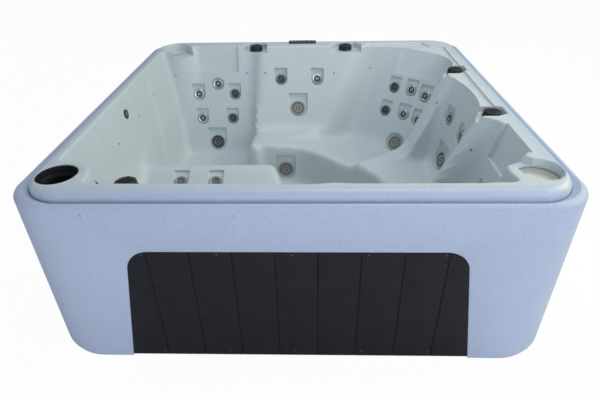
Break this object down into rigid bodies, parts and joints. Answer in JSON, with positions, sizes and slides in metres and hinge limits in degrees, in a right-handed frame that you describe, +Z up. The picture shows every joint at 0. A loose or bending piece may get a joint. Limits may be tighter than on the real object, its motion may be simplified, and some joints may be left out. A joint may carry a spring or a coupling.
{
  "type": "hot tub",
  "caption": "Square moulded hot tub with a lounge, formed seats, footwell, turning jets, air and water knobs, filter corner, steel bowl corner and a dark access panel in the skirt.",
  "frame": {"origin": "middle of the footprint on the ground", "axes": "+Z up; the access panel faces -Y; the lounge is on the -X side with its head at +Y"},
  "size_m": [2, 2, 0.7723],
  "materials": {
    "shell": "smooth moulded plastic with a fine speckle",
    "skirt": "moulded plastic with a fine grain",
    "panel": "ribbed plastic sheet",
    "controls": "satin",
    "lens": "clear lens",
    "button": "soft touch",
    "knob": "satin",
    "jet": "pressed steel face",
    "pipe": "pipe plastic",
    "suction_cover": "moulded",
    "pump_plastic": "glass filled plastic",
    "motor": "painted",
    "heater": "drawn tube",
    "control_box": "moulded box",
    "filter_plastic": "moulded",
    "filter_media": "pleated",
    "bowl": "spun steel",
    "base": "formed plastic",
    "cap": "moulded"
  },
  "bodies": {
    "tub": {"access_panel": "panel", "base_pan": "base", "cabinet_skirt": "skirt", "control_box": "control_box", "drain_line": "pipe", "filter_bucket": "filter_plastic", "heater": "heater", "plumbing_calf": "pipe", "plumbing_centre": "pipe", "plumbing_corner": "pipe", "plumbing_lounge": "pipe", "plumbing_right": "pipe", "pump_motor": "motor", "pump_wet_end": "pump_plastic", "return_pipe": "pipe", "suction_cover_left": "suction_cover", "suction_cover_right": "suction_cover", "suction_pipe": "pipe", "topside_display": "lens", "topside_housing": "controls", "tub_shell": "shell", "wall_light": "lens"},
    "jet_calf_left": {"jet_calf_left": "jet"},
    "jet_calf_right": {"jet_calf_right": "jet"},
    "jet_centre_large": {"jet_centre_large": "jet"},
    "jet_centre_left": {"jet_centre_left": "jet"},
    "jet_centre_right": {"jet_centre_right": "jet"},
    "jet_corner_large": {"jet_corner_large": "jet"},
    "jet_corner_lower_left": {"jet_corner_lower_left": "jet"},
    "jet_corner_lower_middle": {"jet_corner_lower_middle": "jet"},
    "jet_corner_lower_right": {"jet_corner_lower_right": "jet"},
    "jet_corner_upper_left": {"jet_corner_upper_left": "jet"},
    "jet_corner_upper_middle": {"jet_corner_upper_middle": "jet"},
    "jet_corner_upper_right": {"jet_corner_upper_right": "jet"},
    "jet_foot": {"jet_foot": "jet"},
    "jet_front_right_front": {"jet_front_right_front": "jet"},
    "jet_front_right_rear": {"jet_front_right_rear": "jet"},
    "jet_lounge_large": {"jet_lounge_large": "jet"},
    "jet_lounge_lower_left": {"jet_lounge_lower_left": "jet"},
    "jet_lounge_lower_right": {"jet_lounge_lower_right": "jet"},
    "jet_lounge_top": {"jet_lounge_top": "jet"},
    "jet_lounge_upper_left": {"jet_lounge_upper_left": "jet"},
    "jet_lounge_upper_right": {"jet_lounge_upper_right": "jet"},
    "jet_right_front": {"jet_right_front": "jet"},
    "jet_right_large": {"jet_right_large": "jet"},
    "jet_right_rear": {"jet_right_rear": "jet"},
    "knob_front_left": {"knob_front_left": "knob"},
    "knob_rear_left": {"knob_rear_left": "knob"},
    "knob_rear_right": {"knob_rear_right": "knob"},
    "knob_right_front": {"knob_right_front": "knob"},
    "knob_right_rear": {"knob_right_rear": "knob"},
    "button_1": {"button_1": "button"},
    "button_2": {"button_2": "button"},
    "button_3": {"button_3": "button"},
    "button_4": {"button_4": "button"},
    "pump_impeller": {"pump_impeller": "pump_plastic"},
    "filter_weir": {"filter_weir": "filter_plastic"},
    "filter_cartridge": {"filter_cartridge": "filter_media"},
    "steel_bowl": {"steel_bowl": "bowl"},
    "drain_cap": {"drain_cap": "cap"}
  },
  "joints": [
    {"name": "jet_calf_left_turn", "type": "hinge", "parent": "tub", "child": "jet_calf_left", "pos_m": [-0.632, -0.17027, 0.33655], "axis": [0, -0.4886, 0.8725], "range_deg": [0, 120]},
    {"name": "jet_calf_right_turn", "type": "hinge", "parent": "tub", "child": "jet_calf_right", "pos_m": [-0.45, -0.17027, 0.33655], "axis": [0, -0.4886, 0.8725], "range_deg": [0, 120]},
    {"name": "jet_centre_large_turn", "type": "hinge", "parent": "tub", "child": "jet_centre_large", "pos_m": [-0.04208, 0.69634, 0.3929], "axis": [0.0061, -0.9241, 0.382], "range_deg": [0, 120]},
    {"name": "jet_centre_left_turn", "type": "hinge", "parent": "tub", "child": "jet_centre_left", "pos_m": [-0.15363, 0.76365, 0.56835], "axis": [0.0505, -0.9277, 0.37], "range_deg": [0, 120]},
    {"name": "jet_centre_right_turn", "type": "hinge", "parent": "tub", "child": "jet_centre_right", "pos_m": [0.08507, 0.76024, 0.56814], "axis": [-0.0809, -0.9264, 0.3677], "range_deg": [0, 120]},
    {"name": "jet_corner_large_turn", "type": "hinge", "parent": "tub", "child": "jet_corner_large", "pos_m": [0.59212, 0.5238, 0.21645], "axis": [-0.5022, -0.6202, 0.6026], "range_deg": [0, 120]},
    {"name": "jet_corner_lower_left_turn", "type": "hinge", "parent": "tub", "child": "jet_corner_lower_left", "pos_m": [0.53835, 0.66808, 0.38486], "axis": [-0.576, -0.7113, 0.4027], "range_deg": [0, 120]},
    {"name": "jet_corner_lower_middle_turn", "type": "hinge", "parent": "tub", "child": "jet_corner_lower_middle", "pos_m": [0.6426, 0.58639, 0.38968], "axis": [-0.576, -0.7113, 0.4027], "range_deg": [0, 120]},
    {"name": "jet_corner_lower_right_turn", "type": "hinge", "parent": "tub", "child": "jet_corner_lower_right", "pos_m": [0.72222, 0.51568, 0.37865], "axis": [-0.576, -0.7113, 0.4027], "range_deg": [0, 120]},
    {"name": "jet_corner_upper_left_turn", "type": "hinge", "parent": "tub", "child": "jet_corner_upper_left", "pos_m": [0.58939, 0.70713, 0.52683], "axis": [-0.576, -0.7113, 0.4027], "range_deg": [0, 120]},
    {"name": "jet_corner_upper_middle_turn", "type": "hinge", "parent": "tub", "child": "jet_corner_upper_middle", "pos_m": [0.68566, 0.63246, 0.53264], "axis": [-0.576, -0.7113, 0.4027], "range_deg": [0, 120]},
    {"name": "jet_corner_upper_right_turn", "type": "hinge", "parent": "tub", "child": "jet_corner_upper_right", "pos_m": [0.76003, 0.56422, 0.51848], "axis": [-0.576, -0.7113, 0.4027], "range_deg": [0, 120]},
    {"name": "jet_foot_turn", "type": "hinge", "parent": "tub", "child": "jet_foot", "pos_m": [-0.112, 0.32377, 0.13845], "axis": [0, -0.9937, 0.1117], "range_deg": [0, 120]},
    {"name": "jet_front_right_front_turn", "type": "hinge", "parent": "tub", "child": "jet_front_right_front", "pos_m": [0.79938, -0.6415, 0.45225], "axis": [-0.9642, 0.1264, 0.233], "range_deg": [0, 120]},
    {"name": "jet_front_right_rear_turn", "type": "hinge", "parent": "tub", "child": "jet_front_right_rear", "pos_m": [0.80026, -0.48, 0.45206], "axis": [-0.9724, 0, 0.2334], "range_deg": [0, 120]},
    {"name": "jet_lounge_large_turn", "type": "hinge", "parent": "tub", "child": "jet_lounge_large", "pos_m": [-0.597, 0.66436, 0.16469], "axis": [0, -0.9381, 0.3463], "range_deg": [0, 120]},
    {"name": "jet_lounge_lower_left_turn", "type": "hinge", "parent": "tub", "child": "jet_lounge_lower_left", "pos_m": [-0.691, 0.71269, 0.31826], "axis": [0, -0.9524, 0.3048], "range_deg": [0, 120]},
    {"name": "jet_lounge_lower_right_turn", "type": "hinge", "parent": "tub", "child": "jet_lounge_lower_right", "pos_m": [-0.486, 0.71269, 0.31826], "axis": [0, -0.9524, 0.3048], "range_deg": [0, 120]},
    {"name": "jet_lounge_top_turn", "type": "hinge", "parent": "tub", "child": "jet_lounge_top", "pos_m": [-0.576, 0.78113, 0.53212], "axis": [0, -0.9524, 0.3048], "range_deg": [0, 120]},
    {"name": "jet_lounge_upper_left_turn", "type": "hinge", "parent": "tub", "child": "jet_lounge_upper_left", "pos_m": [-0.70685, 0.76132, 0.47121], "axis": [0.0661, -0.9538, 0.2931], "range_deg": [0, 120]},
    {"name": "jet_lounge_upper_right_turn", "type": "hinge", "parent": "tub", "child": "jet_lounge_upper_right", "pos_m": [-0.465, 0.76156, 0.47098], "axis": [0, -0.9524, 0.3048], "range_deg": [0, 120]},
    {"name": "jet_right_front_turn", "type": "hinge", "parent": "tub", "child": "jet_right_front", "pos_m": [0.81557, -0.05842, 0.53849], "axis": [-0.9801, 0.0325, 0.196], "range_deg": [0, 120]},
    {"name": "jet_right_large_turn", "type": "hinge", "parent": "tub", "child": "jet_right_large", "pos_m": [0.77147, 0.05728, 0.34112], "axis": [-0.9696, -0.1267, 0.2092], "range_deg": [0, 120]},
    {"name": "jet_right_rear_turn", "type": "hinge", "parent": "tub", "child": "jet_right_rear", "pos_m": [0.80201, 0.12313, 0.5572], "axis": [-0.9578, -0.2143, 0.1916], "range_deg": [0, 120]},
    {"name": "knob_front_left_turn", "type": "hinge", "parent": "tub", "child": "knob_front_left", "pos_m": [-0.612, -0.836, 0.709], "axis": [0, 0, 1], "range_deg": [0, 180]},
    {"name": "knob_rear_left_turn", "type": "hinge", "parent": "tub", "child": "knob_rear_left", "pos_m": [-0.315, 0.862, 0.729], "axis": [0, 0, 1], "range_deg": [0, 180]},
    {"name": "knob_rear_right_turn", "type": "hinge", "parent": "tub", "child": "knob_rear_right", "pos_m": [0.268, 0.862, 0.729], "axis": [0, 0, 1], "range_deg": [0, 180]},
    {"name": "knob_right_front_turn", "type": "hinge", "parent": "tub", "child": "knob_right_front", "pos_m": [0.864, -0.26, 0.729], "axis": [0, 0, 1], "range_deg": [0, 180]},
    {"name": "knob_right_rear_turn", "type": "hinge", "parent": "tub", "child": "knob_right_rear", "pos_m": [0.852, 0.352, 0.729], "axis": [0, 0, 1], "range_deg": [0, 180]},
    {"name": "button_1_press", "type": "slide", "parent": "tub", "child": "button_1", "axis": [0, 0, -1], "range_m": [0, 0.0015], "stiffness_N_per_m": 400},
    {"name": "button_2_press", "type": "slide", "parent": "tub", "child": "button_2", "axis": [0, 0, -1], "range_m": [0, 0.0015], "stiffness_N_per_m": 400},
    {"name": "button_3_press", "type": "slide", "parent": "tub", "child": "button_3", "axis": [0, 0, -1], "range_m": [0, 0.0015], "stiffness_N_per_m": 400},
    {"name": "button_4_press", "type": "slide", "parent": "tub", "child": "button_4", "axis": [0, 0, -1], "range_m": [0, 0.0015], "stiffness_N_per_m": 400},
    {"name": "impeller_spin", "type": "hinge", "parent": "tub", "child": "pump_impeller", "pos_m": [0, -0.72, 0.12], "axis": [1, 0, 0], "continuous": true},
    {"name": "weir_swing", "type": "hinge", "parent": "tub", "child": "filter_weir", "pos_m": [-0.7768, -0.7408, 0.6255], "axis": [0.7071, -0.7071, 0], "range_deg": [0, 70]},
    {"name": "cartridge_lift", "type": "slide", "parent": "tub", "child": "filter_cartridge", "axis": [0, 0, 1], "range_m": [0, 0.34]},
    {"name": "bowl_lift", "type": "slide", "parent": "tub", "child": "steel_bowl", "axis": [0, 0, 1], "range_m": [0, 0.12]},
    {"name": "drain_cap_turn", "type": "hinge", "parent": "tub", "child": "drain_cap", "pos_m": [0.18615, 0.996, 0.046], "axis": [0, 1, 0], "range_deg": [0, 90]}
  ]
}
